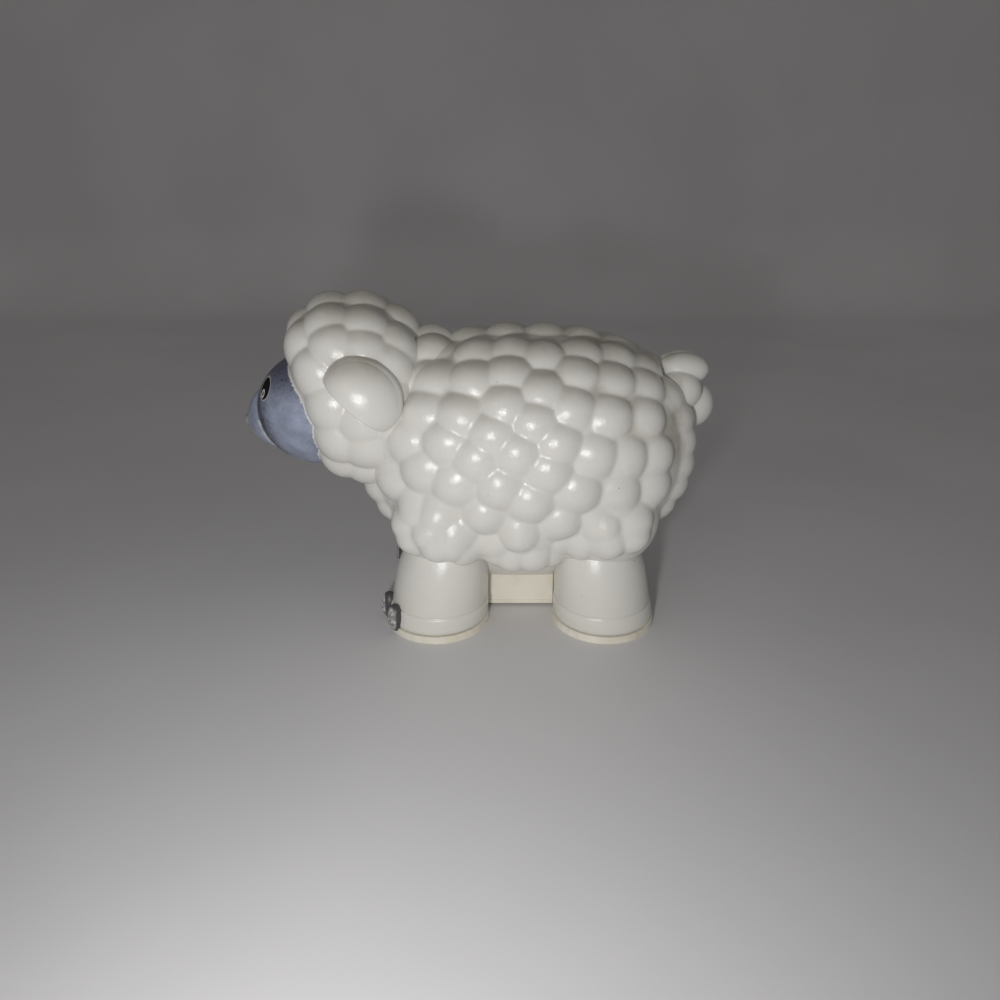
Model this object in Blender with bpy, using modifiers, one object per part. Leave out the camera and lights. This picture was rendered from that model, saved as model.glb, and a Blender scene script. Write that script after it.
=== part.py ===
"""Toy sheep figure: a hollow soft-vinyl fleece shell with plugged-in ears, tail, belly and feet.

The sheep stands on z = 0 and faces -X, so its left side is at -Y and its mid-plane is y = 0.
All sizes are in metres. Places along, across and up the fleece are shares of the form that
carries them, and every piece that seats in the shell takes its size from the same named values.
"""

import math

import bmesh
import bpy
import numpy as np
from mathutils import Vector

# Torso: a full oval, squared a little, with a shoulder that carries the neck
TORSO_ALONG = 0.0075
TORSO_UP = 0.0280
TORSO_HALF_LENGTH = 0.0264
TORSO_HALF_WIDTH = 0.0180
TORSO_HALF_HEIGHT = 0.0180
FORM_POWER = 2.3
NECK_ALONG = -0.0080
NECK_UP = 0.0327
NECK_HALF_LENGTH = 0.0112
NECK_HALF_WIDTH = 0.0135
NECK_HALF_HEIGHT = 0.0131

# Low flanks: fleece bulges above the legs and between them
FLANK_FRONT_ALONG = -0.0048
FLANK_MIDDLE_ALONG = 0.0070
FLANK_REAR_ALONG = 0.0198
FLANK_ACROSS = 0.0095
FLANK_UP = 0.0184
FLANK_HALF_LENGTH = 0.0086
FLANK_HALF_WIDTH = 0.0074
FLANK_HALF_HEIGHT = 0.0080

# Head: the fleece cap, which leans forward, the smooth face in its front, the muzzle and the nose
HEAD_ALONG = -0.0176
HEAD_UP = 0.0368
HEAD_HALF_LENGTH = 0.0111
HEAD_HALF_WIDTH = 0.0128
HEAD_HALF_HEIGHT = 0.0139
HEAD_POWER = 2.5
HEAD_LEAN_SHARE = 0.16
FACE_ALONG = -0.0250
FACE_UP = 0.0338
FACE_HALF_LENGTH = 0.0102
FACE_HALF_WIDTH = 0.0108
FACE_HALF_HEIGHT = 0.0093
MUZZLE_ALONG = -0.0313
MUZZLE_UP = 0.0321
MUZZLE_HALF_LENGTH = 0.0058
MUZZLE_HALF_WIDTH = 0.0058
MUZZLE_HALF_HEIGHT = 0.0050
NOSE_ALONG = -0.0370
NOSE_UP = 0.0318
NOSE_HALF_LENGTH = 0.0010
NOSE_HALF_WIDTH = 0.0018
NOSE_HALF_HEIGHT = 0.0011

# Fleece bumps: how far a bump stands out, how wide it is, and the least depth between bumps
BUMP_RISE = 0.0012
BUMP_REACH = 0.0034
HEAD_BUMP_RISE = 0.0014
HEAD_BUMP_REACH = 0.0040
VALLEY_DEPTH = 0.0001
SIDE_ROW_ACROSS = 0.0066
CENTRE_ROW_LOW_SHARE = -0.80
SIDE_ROW_LOW_SHARE = -0.60

# Saddle: the smooth underside between the legs
SADDLE_ALONG = 0.0070
SADDLE_UP = 0.0170
SADDLE_HALF_LENGTH = 0.0190
SADDLE_HALF_WIDTH = 0.0105
SADDLE_HALF_HEIGHT = 0.0119
SADDLE_POWER = 2.6

# Legs: turned and tapered, with a cuff line above a plain foot band; front and rear legs lean together
LEG_FRONT_ALONG = -0.0068
LEG_REAR_ALONG = 0.0204
LEG_FRONT_LEAN_SHARE = 0.05
LEG_REAR_LEAN_SHARE = -0.10
LEG_ACROSS = 0.0090
LEG_TOP_UP = 0.0175
LEG_TOP_RADIUS = 0.0054
LEG_SHOULDER_UP = 0.0140
LEG_SHOULDER_RADIUS = 0.0064
LEG_MIDDLE_UP = 0.0085
LEG_MIDDLE_RADIUS = 0.0074
CUFF_UP = 0.0042
CUFF_RADIUS = 0.0078
CUFF_STEP = 0.0002
FOOT_RADIUS = 0.0082
TOE_RADIUS = 0.0014
TOE_HALF_HEIGHT = 0.0018
TOE_UP = 0.0033
TOE_SPREAD_DEGREES = 24
LEG_SIDES = 32

# Shell wall, leg bores and the clearance that each plugged-in piece keeps
WALL = 0.0018
SEAT_GAP = 0.0003
BORE_RADIUS = 0.0052
OVERRUN = 0.0010
MERGE_DISTANCE = 0.00001

# Foot plugs: the yellowed sole under each foot with its boss inside the leg
SOLE_THICKNESS = 0.0012
SOLE_RADIUS = 0.0083
BOSS_UP = 0.0085
BOSS_CORE_RADIUS = 0.0034

# Belly plug: the block between the legs with the neck that holds it in the shell
BLOCK_LENGTH = 0.0112
BLOCK_WIDTH = 0.0106
BLOCK_BOTTOM = 0.0004
BLOCK_TOP = 0.0086
BLOCK_LIP = 0.0002
BLOCK_LIP_HEIGHT = 0.0006
BLOCK_BEVEL = 0.0002
NECK_PLUG_LENGTH = 0.0070
NECK_PLUG_WIDTH = 0.0090
NECK_PLUG_TOP = 0.0150

# Ears: a thick dome, cut straight along its lower front edge and thickest there, on a round peg
EAR_ALONG = -0.0162
EAR_UP = 0.0389
EAR_ACROSS = 0.0130
EAR_HALF_LENGTH = 0.0061
EAR_HALF_HEIGHT = 0.0053
EAR_HALF_THICKNESS = 0.0046
EAR_POWER = 2.1
EAR_CUT_OFFSET = 0.0019
EAR_LEAN_DEGREES = 43
EAR_THINNING_SHARE = 0.14
EAR_PEG_RADIUS = 0.0018
EAR_PEG_LENGTH = 0.0052

# Tail: a pair of lobes above, a pair beside and one below, on a round peg in the rump
TAIL_ALONG = 0.0326
TAIL_UP = 0.0365
TAIL_SIZE = 0.0060
TAIL_TILT_DEGREES = 28
TAIL_PEG_RADIUS = 0.0020
TAIL_PEG_LENGTH = 0.0060

# Tail lobes of the left side: place along, across and up, then the three half sizes, by the tail's size
TAIL_LOBE_SHARES = (
    (-0.10, 0.20, 0.60, 0.68, 0.46, 0.42),
    (-0.25, 0.50, 0.10, 0.62, 0.50, 0.55),
    (0.26, 0.00, -0.38, 0.58, 0.57, 0.62),
)

# Left-side fleece bumps of the torso, row by row: (along share, up share)
TORSO_BUMP_SHARES = (
    (-0.56, 0.74), (-0.34, 0.77), (-0.11, 0.79), (0.09, 0.79), (0.27, 0.78), (0.49, 0.72), (0.69, 0.58),
    (-0.63, 0.52), (-0.39, 0.52), (-0.15, 0.57), (0.03, 0.56), (0.23, 0.53), (0.45, 0.46), (0.70, 0.39),
    (-0.70, 0.24), (-0.47, 0.29), (-0.22, 0.34), (0.00, 0.34), (0.16, 0.27), (0.37, 0.18), (0.58, 0.15),
    (0.78, 0.21), (-0.48, 0.06), (-0.28, 0.14), (-0.07, 0.18), (0.12, 0.04), (-0.61, -0.01), (0.78, 0.00),
    (-0.79, -0.14), (-0.43, -0.13), (-0.17, -0.08), (0.01, -0.25), (0.29, -0.13), (0.52, -0.15),
    (0.75, -0.22), (-0.65, -0.28), (-0.50, -0.31), (-0.25, -0.37), (0.18, -0.41), (0.39, -0.41),
    (0.60, -0.40), (-0.50, -0.48), (-0.35, -0.54), (-0.06, -0.51), (-0.67, -0.43), (-0.19, -0.66),
    (0.10, -0.64), (0.25, -0.64), (0.40, -0.55), (0.54, -0.50), (-0.44, -0.61), (-0.30, -0.75),
    (-0.08, -0.74), (0.04, -0.73), (0.18, -0.78), (0.34, -0.68), (0.46, -0.60),
)

# Bumps over the torso's back, chest and rump, as shares of a turn from its top, rearwards
TORSO_RIDGE_TURN_SHARES = (
    -0.376, -0.340, -0.305, -0.269, -0.233, -0.198, -0.162, -0.132, -0.105, -0.080, -0.055, -0.019,
    0.017, 0.052, 0.088, 0.124, 0.160, 0.195, 0.231, 0.267, 0.302, 0.338, 0.374,
)

# Left-side fleece bumps of the head cap, from the forehead back and down
HEAD_BUMP_SHARES = (
    (-0.67, 0.63), (-0.21, 0.86), (0.30, 0.84), (0.72, 0.61),
    (-0.51, 0.37), (-0.14, 0.65), (0.26, 0.60), (0.61, 0.43),
    (-0.39, -0.01), (0.06, 0.25), (0.46, 0.12), (0.04, -0.16), (0.45, -0.18),
    (-0.41, -0.41), (0.00, -0.47), (0.42, -0.50), (-0.52, -0.72), (-0.13, -0.82), (0.27, -0.84),
)

# Bumps on the head's mid-plane, as shares of a turn from the crown, rearwards
HEAD_RIDGE_TURN_SHARES = (-0.135, -0.045, 0.037, 0.121, 0.200, -0.440, 0.440)

WHITE_VINYL = (0.80, 0.79, 0.76, 1.0)
YELLOWED_PLASTIC = (0.78, 0.74, 0.62, 1.0)
VINYL_ROUGHNESS = 0.30
PLASTIC_ROUGHNESS = 0.40

FINE_BALL = 6
FACE_BALL = 4
CAVITY_BALL = 3
SMALL_BALL = 3
PEG_SIDES = 16
SHELL_SHARP_DEGREES = 60
PIECE_SHARP_DEGREES = 40
TORSO_TRIANGLES = 4400
HEAD_TRIANGLES = 1800
FACE_TRIANGLES = 800
SADDLE_TRIANGLES = 500
TAIL_TRIANGLES = 500
EAR_TRIANGLES = 400


def clear_scene():
    """Remove every object that the scene starts with."""
    for item in list(bpy.data.objects):
        bpy.data.objects.remove(item, do_unlink=True)


def new_collection(name):
    """Return a new collection under the scene's own."""
    group = bpy.data.collections.new(name)
    bpy.context.scene.collection.children.link(group)
    return group


def material(name, colour, roughness):
    """Return a plain Principled material."""
    made = bpy.data.materials.new(name)
    made.use_nodes = True
    shader = made.node_tree.nodes["Principled BSDF"]
    shader.inputs["Base Color"].default_value = colour
    shader.inputs["Roughness"].default_value = roughness
    shader.inputs["Metallic"].default_value = 0.0
    return made


def link_only(item, group):
    """Put an object in one collection and no other."""
    for other in list(item.users_collection):
        other.objects.unlink(item)
    group.objects.link(item)


def ball(name, levels):
    """Return a unit ball of triangles and its corner directions."""
    bpy.ops.mesh.primitive_ico_sphere_add(subdivisions=levels, radius=1.0)
    item = bpy.context.object
    item.name = name
    item.data.name = name
    corners = np.empty(len(item.data.vertices) * 3)
    item.data.vertices.foreach_get("co", corners)
    corners = corners.reshape(-1, 3)
    return item, corners / np.linalg.norm(corners, axis=1)[:, None]


def set_corners(item, places):
    """Move a mesh's corners to the given places."""
    item.data.vertices.foreach_set("co", places.ravel())
    item.data.update()


def own_radius(directions, halves, power):
    """Distance from a form's centre to its surface: (sum |d/half|^power)^(-1/power)."""
    return (np.abs(directions / halves) ** power).sum(axis=1) ** (-1.0 / power)


def far_radius(directions, start, centre, halves):
    """Distance from start to the far wall of an oval, and zero where the line misses it."""
    slope = directions / halves
    offset = (start - centre) / halves
    square = (slope ** 2).sum(axis=1)
    cross = slope @ offset
    rest = (offset ** 2).sum() - 1.0
    inside = cross ** 2 - square * rest
    reach = (-cross + np.sqrt(np.maximum(inside, 0.0))) / square
    return np.where(inside > 0.0, np.maximum(reach, 0.0), 0.0)


TORSO_CENTRE = np.array((TORSO_ALONG, 0.0, TORSO_UP))
TORSO_HALVES = np.array((TORSO_HALF_LENGTH, TORSO_HALF_WIDTH, TORSO_HALF_HEIGHT))
NECK_CENTRE = np.array((NECK_ALONG, 0.0, NECK_UP))
NECK_HALVES = np.array((NECK_HALF_LENGTH, NECK_HALF_WIDTH, NECK_HALF_HEIGHT))
HEAD_CENTRE = np.array((HEAD_ALONG, 0.0, HEAD_UP))
HEAD_HALVES = np.array((HEAD_HALF_LENGTH, HEAD_HALF_WIDTH, HEAD_HALF_HEIGHT))
HEAD_LEAN = np.array((HEAD_LEAN_SHARE, 0.0, 0.0))
FLANK_HALVES = np.array((FLANK_HALF_LENGTH, FLANK_HALF_WIDTH, FLANK_HALF_HEIGHT))
FLANK_PLACES = [np.array((along, side * FLANK_ACROSS, FLANK_UP)) for side in (-1.0, 1.0)
                for along in (FLANK_FRONT_ALONG, FLANK_MIDDLE_ALONG, FLANK_REAR_ALONG)]


def torso_radius(directions, inset):
    """Distance to the wall of the smooth torso with its neck and low flanks, drawn in by inset."""
    walls = [own_radius(directions, TORSO_HALVES - inset, FORM_POWER),
             far_radius(directions, TORSO_CENTRE, NECK_CENTRE, NECK_HALVES - inset)]
    for place in FLANK_PLACES:
        walls.append(far_radius(directions, TORSO_CENTRE, place, FLANK_HALVES - inset))
    return np.maximum.reduce(walls)


def head_radius(directions, inset):
    """Radius of the smooth head cap, an oval that shifts forward with height, drawn in by inset."""
    return own_radius(directions + directions[:, 2:] * HEAD_LEAN, HEAD_HALVES - inset, HEAD_POWER)


def side_centres(shares, centre, halves, power):
    """Bump centres on both sides of a form, from their places seen from the side."""
    places = []
    for along, up in shares:
        left = 1.0 - abs(along) ** power - abs(up) ** power
        across = max(left, 0.0) ** (1.0 / power)
        for side in (-1.0, 1.0):
            places.append(centre + halves * np.array((along, side * across, up)))
    return places


def ridge_centres(turn_shares, offset, centre, halves, power):
    """Bump centres along the outline seen from the side, offset across the mid-plane."""
    places = []
    across = offset / halves[1]
    for share in turn_shares:
        turn = math.tau * share
        along, up = math.sin(turn), math.cos(turn)
        scale = ((1.0 - across ** power) / (abs(along) ** power + abs(up) ** power)) ** (1.0 / power)
        for side in ((-1.0, 1.0) if offset > 0.0 else (0.0,)):
            places.append(centre + halves * np.array((along * scale, side * across, up * scale)))
    return places


def torso_bumps():
    """All bump centres of the torso, with the rows over the back left out along the smooth belly."""
    places = side_centres(TORSO_BUMP_SHARES, TORSO_CENTRE, TORSO_HALVES, FORM_POWER)
    for offset, low_share in ((0.0, CENTRE_ROW_LOW_SHARE), (SIDE_ROW_ACROSS, SIDE_ROW_LOW_SHARE)):
        row = ridge_centres(TORSO_RIDGE_TURN_SHARES, offset, TORSO_CENTRE, TORSO_HALVES, FORM_POWER)
        places += [place for place in row if place[2] > TORSO_UP + low_share * TORSO_HALF_HEIGHT]
    directions = np.array(places) - TORSO_CENTRE
    directions /= np.linalg.norm(directions, axis=1)[:, None]
    return TORSO_CENTRE + directions * torso_radius(directions, 0.0)[:, None]


def head_bumps():
    """All bump centres of the leaning head cap."""
    places = side_centres(HEAD_BUMP_SHARES, HEAD_CENTRE, HEAD_HALVES, HEAD_POWER)
    places += ridge_centres(HEAD_RIDGE_TURN_SHARES, 0.0, HEAD_CENTRE, HEAD_HALVES, HEAD_POWER)
    places = np.array(places)
    return places - (places[:, 2:] - HEAD_UP) * HEAD_LEAN


def bump_height(points, centres, cap_rise, cap_reach):
    """Upper envelope of the bumps' round caps, rise * (1 - (distance / reach)^2)."""
    height = np.full(len(points), -VALLEY_DEPTH)
    for centre in centres:
        square = ((points - centre) ** 2).sum(axis=1)
        height = np.maximum(height, cap_rise * (1.0 - square / cap_reach ** 2))
    return height


def fleece_form(name, centre, radius, centres, cap_rise, cap_reach):
    """A fleece-covered form: a ball pushed out to its radius plus the bumps' height."""
    item, directions = ball(name, FINE_BALL)
    smooth = radius(directions, 0.0)[:, None]
    rise = bump_height(centre + directions * smooth, centres, cap_rise, cap_reach)[:, None]
    set_corners(item, centre + directions * (smooth + rise))
    return item


def smooth_form(name, centre, radius, inset):
    """A smooth form: a ball pushed out to its radius."""
    item, directions = ball(name, CAVITY_BALL)
    set_corners(item, centre + directions * radius(directions, inset)[:, None])
    return item


def oval(name, centre, halves, levels):
    """A plain oval."""
    item, directions = ball(name, levels)
    set_corners(item, np.array(centre) + directions * np.array(halves))
    return item


def turned(name, profile, centre, sides):
    """A turned form: an outer profile, top to bottom, spun about a vertical line."""
    mesh = bpy.data.meshes.new(name)
    corners = [(radius, 0.0, up) for radius, up in profile]
    mesh.from_pydata(corners, [(step, step + 1) for step in range(len(corners) - 1)], [])
    item = bpy.data.objects.new(name, mesh)
    bpy.context.scene.collection.objects.link(item)
    item.location = centre
    screw = item.modifiers.new("turn", 'SCREW')
    screw.axis = 'Z'
    screw.steps = sides
    screw.render_steps = sides
    screw.use_merge_vertices = True
    screw.merge_threshold = MERGE_DISTANCE
    screw.use_smooth_shade = True
    return item


def rod(name, radius, start, end, sides):
    """A round rod between two points."""
    line = Vector(end) - Vector(start)
    bpy.ops.mesh.primitive_cylinder_add(
        vertices=sides, radius=radius, depth=line.length, location=(Vector(start) + Vector(end)) / 2.0,
        rotation=line.to_track_quat('Z', 'Y').to_euler())
    item = bpy.context.object
    item.name = name
    item.data.name = name
    return item


def box(name, low, high):
    """A box between two corners."""
    low, high = Vector(low), Vector(high)
    bpy.ops.mesh.primitive_cube_add(size=1.0, location=(low + high) / 2.0)
    item = bpy.context.object
    item.name = name
    item.data.name = name
    item.scale = high - low
    bpy.ops.object.transform_apply(location=False, rotation=False, scale=True)
    return item


def settle(item):
    """Replace an object's mesh by its finished form in world space."""
    bpy.context.view_layer.update()
    seen = item.evaluated_get(bpy.context.evaluated_depsgraph_get())
    mesh = bpy.data.meshes.new_from_object(seen)
    mesh.transform(item.matrix_world)
    item.modifiers.clear()
    item.data = mesh
    item.location = (0.0, 0.0, 0.0)
    item.rotation_euler = (0.0, 0.0, 0.0)
    item.scale = (1.0, 1.0, 1.0)
    return item


def combine(item, others, operation):
    """Join a form with others, or cut them all out of it, in one step."""
    group = new_collection(item.name + " cutters")
    for other in others:
        link_only(other, group)
        other.hide_render = True
        other.display_type = 'WIRE'
    step = item.modifiers.new(operation.lower(), 'BOOLEAN')
    step.operation = operation
    step.solver = 'EXACT'
    step.operand_type = 'COLLECTION'
    step.collection = group
    settle(item)
    for other in others:
        bpy.data.objects.remove(other, do_unlink=True)
    bpy.data.collections.remove(group)
    return item


def thin_out(item, triangles):
    """Bring a mesh down to a number of triangles, fewest where it is flattest."""
    mesh = bmesh.new()
    mesh.from_mesh(item.data)
    bmesh.ops.triangulate(mesh, faces=mesh.faces[:])
    mesh.to_mesh(item.data)
    count = len(mesh.faces)
    mesh.free()
    step = item.modifiers.new("fewer faces", 'DECIMATE')
    step.ratio = min(1.0, triangles / count)
    return settle(item)


def finish(item, group, look, sharp_degrees):
    """Put a finished piece in its collection with its material and smooth shading."""
    link_only(item, group)
    item.data.name = item.name
    item.data.materials.clear()
    item.data.materials.append(look)
    item.data.shade_smooth()
    item.data.set_sharp_from_angle(angle=math.radians(sharp_degrees))
    return item


def lean_leg(item, name):
    """Lean a leg's form along the sheep above its sole, by a share of the height."""
    share = LEG_FRONT_LEAN_SHARE if name.startswith("front") else LEG_REAR_LEAN_SHARE
    for corner in item.data.vertices:
        corner.co.x += share * max(corner.co.z - SOLE_THICKNESS, 0.0)
    return item


def leg_profile():
    """Outer outline of a leg, from its hidden top down to its open foot."""
    foot = SOLE_THICKNESS + SEAT_GAP
    return ((0.0, LEG_TOP_UP), (LEG_TOP_RADIUS, LEG_TOP_UP), (LEG_SHOULDER_RADIUS, LEG_SHOULDER_UP),
            (LEG_MIDDLE_RADIUS, LEG_MIDDLE_UP), (CUFF_RADIUS, CUFF_UP),
            (CUFF_RADIUS + CUFF_STEP, CUFF_UP - CUFF_STEP), (FOOT_RADIUS, foot), (0.0, foot))


LEG_PLACES = {
    "front_left": (LEG_FRONT_ALONG, -LEG_ACROSS),
    "front_right": (LEG_FRONT_ALONG, LEG_ACROSS),
    "rear_left": (LEG_REAR_ALONG, -LEG_ACROSS),
    "rear_right": (LEG_REAR_ALONG, LEG_ACROSS),
}


def legs():
    """The four legs, with two rounded toes on each front foot."""
    forms = []
    for name, (along, across) in LEG_PLACES.items():
        leg = settle(turned("leg_" + name, leg_profile(), (along, across, 0.0), LEG_SIDES))
        forms.append(lean_leg(leg, name))
        if name.startswith("front"):
            for side in (-1.0, 1.0):
                turn = math.radians(TOE_SPREAD_DEGREES) * side
                place = (along - FOOT_RADIUS * math.cos(turn), across + FOOT_RADIUS * math.sin(turn), TOE_UP)
                forms.append(oval("toe", place, (TOE_RADIUS, TOE_RADIUS, TOE_HALF_HEIGHT), SMALL_BALL))
    return forms


def lobed_form(name, centre, ovals, levels):
    """A form of ovals that overlap round one centre: a ball pushed out to the farthest wall."""
    item, directions = ball(name, levels)
    centre = np.array(centre)
    reach = [far_radius(directions, centre, np.array(place), np.array(halves)) for place, halves in ovals]
    set_corners(item, centre + directions * np.maximum.reduce(reach)[:, None])
    return item


def face():
    """The smooth face with its muzzle and nose."""
    cheeks = ((FACE_ALONG, 0.0, FACE_UP), (FACE_HALF_LENGTH, FACE_HALF_WIDTH, FACE_HALF_HEIGHT))
    muzzle = ((MUZZLE_ALONG, 0.0, MUZZLE_UP), (MUZZLE_HALF_LENGTH, MUZZLE_HALF_WIDTH, MUZZLE_HALF_HEIGHT))
    nose = ((NOSE_ALONG, 0.0, NOSE_UP), (NOSE_HALF_LENGTH, NOSE_HALF_WIDTH, NOSE_HALF_HEIGHT))
    return thin_out(lobed_form("face", cheeks[0], (cheeks, muzzle, nose), FACE_BALL), FACE_TRIANGLES)


def saddle():
    """The smooth underside that joins the legs below the fleece."""
    item, directions = ball("saddle", FACE_BALL)
    halves = np.array((SADDLE_HALF_LENGTH, SADDLE_HALF_WIDTH, SADDLE_HALF_HEIGHT))
    centre = np.array((SADDLE_ALONG, 0.0, SADDLE_UP))
    set_corners(item, centre + directions * own_radius(directions, halves, SADDLE_POWER)[:, None])
    return thin_out(item, SADDLE_TRIANGLES)


def ear_pad(side, swell):
    """The dome of an ear: an oval cut flat along its lower front edge, thinner away from that edge."""
    pad, directions = ball("ear_pad", FACE_BALL)
    scaled = directions / (EAR_HALF_LENGTH + swell, EAR_HALF_THICKNESS + swell, EAR_HALF_HEIGHT + swell)
    outline = np.hypot(scaled[:, 0], scaled[:, 2])
    dome = (outline ** EAR_POWER + np.abs(scaled[:, 1]) ** EAR_POWER) ** (-1.0 / EAR_POWER)
    cut = EAR_CUT_OFFSET + swell
    below = np.maximum(-directions[:, 2], cut / (EAR_HALF_LENGTH * EAR_POWER))
    place = directions * np.minimum(dome, cut / below)[:, None]
    outer = np.clip(side * place[:, 1] / EAR_CUT_OFFSET, 0.0, 1.0)
    place[:, 1] -= side * EAR_THINNING_SHARE * outer * (place[:, 2] + cut)
    lean = math.radians(EAR_LEAN_DEGREES)
    along = place[:, 0] * math.cos(lean) + place[:, 2] * math.sin(lean)
    up = place[:, 2] * math.cos(lean) - place[:, 0] * math.sin(lean)
    centre = np.array((EAR_ALONG, side * EAR_ACROSS, EAR_UP))
    set_corners(pad, centre + np.stack((along, place[:, 1], up), axis=1))
    return thin_out(pad, EAR_TRIANGLES)


def ear_peg(side, swell):
    """The round peg that holds an ear in the head."""
    inner = side * (EAR_ACROSS - EAR_PEG_LENGTH - swell)
    return rod("ear_peg", EAR_PEG_RADIUS + swell, (EAR_ALONG, inner, EAR_UP),
               (EAR_ALONG, side * EAR_ACROSS, EAR_UP), PEG_SIDES)


def tail_axis():
    """The direction in which the tail leaves the rump."""
    turn = math.radians(TAIL_TILT_DEGREES)
    return Vector((math.cos(turn), 0.0, math.sin(turn)))


def tail_lobes(swell):
    """The tail's soft lobes round one centre, swollen to make room for them."""
    centre = np.array((TAIL_ALONG, 0.0, TAIL_UP))
    ovals = []
    for lobe in TAIL_LOBE_SHARES:
        shift, halves = np.array(lobe[:3]) * TAIL_SIZE, np.array(lobe[3:]) * TAIL_SIZE
        for side in (-1.0, 1.0):
            ovals.append((centre + shift * (1.0, side, 1.0), halves + swell))
    return lobed_form("tail", centre, ovals, FACE_BALL)


def tail_peg(swell):
    """The round peg that holds the tail in the rump."""
    centre = Vector((TAIL_ALONG, 0.0, TAIL_UP))
    return rod("tail_peg", TAIL_PEG_RADIUS + swell, centre - tail_axis() * (TAIL_PEG_LENGTH + swell),
               centre, PEG_SIDES)


def fleece_outside():
    """The shell's outside: fleece torso and head, smooth face and legs, as one form."""
    torso = fleece_form("fleece_shell", TORSO_CENTRE, torso_radius, torso_bumps(), BUMP_RISE, BUMP_REACH)
    head = fleece_form("head", HEAD_CENTRE, head_radius, head_bumps(), HEAD_BUMP_RISE, HEAD_BUMP_REACH)
    thin_out(torso, TORSO_TRIANGLES)
    thin_out(head, HEAD_TRIANGLES)
    return combine(torso, [head, face(), saddle()] + legs(), 'UNION')


def hollow():
    """The shell's inside, from the head down to the open bore of each leg."""
    space = smooth_form("hollow", TORSO_CENTRE, torso_radius, WALL)
    parts = [smooth_form("head_hollow", HEAD_CENTRE, head_radius, WALL)]
    foot = SOLE_THICKNESS + SEAT_GAP - OVERRUN
    for name, (along, across) in LEG_PLACES.items():
        bore = rod("leg_bore", BORE_RADIUS, (along, across, foot), (along, across, LEG_TOP_UP), LEG_SIDES)
        parts.append(lean_leg(settle(bore), name))
    return combine(space, parts, 'UNION')


def plug_box(name, length, width, bottom, top):
    """A box centred between the legs."""
    middle = (LEG_FRONT_ALONG + LEG_REAR_ALONG) / 2.0
    return box(name, (middle - length / 2.0, -width / 2.0, bottom), (middle + length / 2.0, width / 2.0, top))


def belly_seat():
    """The pocket for the block and the slot above it for the belly plug's neck."""
    room = 2.0 * SEAT_GAP
    below = SADDLE_UP - SADDLE_HALF_HEIGHT - OVERRUN
    pocket = plug_box("belly_seat", BLOCK_LENGTH + room, BLOCK_WIDTH + room, below, BLOCK_TOP + SEAT_GAP)
    slot = plug_box("slot", NECK_PLUG_LENGTH + room, NECK_PLUG_WIDTH + room, BLOCK_TOP,
                    NECK_PLUG_TOP + SEAT_GAP)
    return combine(pocket, [slot], 'UNION')


def fleece_shell(group, look):
    """The hollow shell with seats for its ears, tail, belly plug and foot plugs."""
    shell = fleece_outside()
    cutters = [hollow(), belly_seat(), thin_out(tail_lobes(SEAT_GAP), TAIL_TRIANGLES), tail_peg(SEAT_GAP)]
    for side in (-1.0, 1.0):
        cutters += [ear_pad(side, SEAT_GAP), ear_peg(side, SEAT_GAP)]
    combine(shell, cutters, 'DIFFERENCE')
    return finish(shell, group, look, SHELL_SHARP_DEGREES)


def ears(group, look):
    """The two ears, each a pad with its peg."""
    for name, side in (("ear_left", -1.0), ("ear_right", 1.0)):
        ear = combine(ear_pad(side, 0.0), [ear_peg(side, 0.0)], 'UNION')
        ear.name = name
        finish(ear, group, look, PIECE_SHARP_DEGREES)


def tail(group, look):
    """The tail, its lobes joined to its peg."""
    form = combine(thin_out(tail_lobes(0.0), TAIL_TRIANGLES), [tail_peg(0.0)], 'UNION')
    finish(form, group, look, PIECE_SHARP_DEGREES)


def belly_plug(group, look):
    """The block between the legs, with a lip round its lower edge and a neck up into the shell."""
    block = plug_box("belly_plug", BLOCK_LENGTH, BLOCK_WIDTH, BLOCK_BOTTOM, BLOCK_TOP)
    lip = plug_box("lip", BLOCK_LENGTH - BLOCK_LIP, BLOCK_WIDTH + 2.0 * BLOCK_LIP, BLOCK_BOTTOM + BLOCK_LIP,
                   BLOCK_BOTTOM + BLOCK_LIP + BLOCK_LIP_HEIGHT)
    neck = plug_box("neck", NECK_PLUG_LENGTH, NECK_PLUG_WIDTH, BLOCK_TOP - OVERRUN, NECK_PLUG_TOP)
    combine(block, [lip, neck], 'UNION')
    edge = block.modifiers.new("soft edges", 'BEVEL')
    edge.width = BLOCK_BEVEL
    edge.segments = 1
    settle(block)
    finish(block, group, look, PIECE_SHARP_DEGREES)


def foot_plugs(group, look):
    """One plug a foot: a flat sole and a hollow boss that seats in the leg's bore."""
    boss_radius = BORE_RADIUS - SEAT_GAP
    profile = ((0.0, SOLE_THICKNESS), (BOSS_CORE_RADIUS, SOLE_THICKNESS), (BOSS_CORE_RADIUS, BOSS_UP),
               (boss_radius, BOSS_UP), (boss_radius, SOLE_THICKNESS), (SOLE_RADIUS, SOLE_THICKNESS),
               (SOLE_RADIUS, 0.0), (0.0, 0.0))
    for name, (along, across) in LEG_PLACES.items():
        plug = settle(turned("foot_plug_" + name, profile, (along, across, 0.0), LEG_SIDES))
        finish(lean_leg(plug, name), group, look, PIECE_SHARP_DEGREES)


def main():
    """Build every piece of the sheep."""
    clear_scene()
    group = new_collection("toy_sheep")
    vinyl = material("white_vinyl", WHITE_VINYL, VINYL_ROUGHNESS)
    plastic = material("yellowed_plastic", YELLOWED_PLASTIC, PLASTIC_ROUGHNESS)
    fleece_shell(group, vinyl)
    ears(group, vinyl.copy())
    tail(group, vinyl.copy())
    belly_plug(group, plastic)
    foot_plugs(group, plastic.copy())


if __name__ == "__main__":
    main()
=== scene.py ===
"""Toy sheep figure: a moulded fleece shell with plugged-in ears, tail, belly block and soles.

The sheep stands on z = 0 and faces -X, with its left side at -Y. All lengths are in metres.
Every new piece is a surface worked out as whole arrays and repeats the named forms of the solids.
"""
import math

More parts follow.
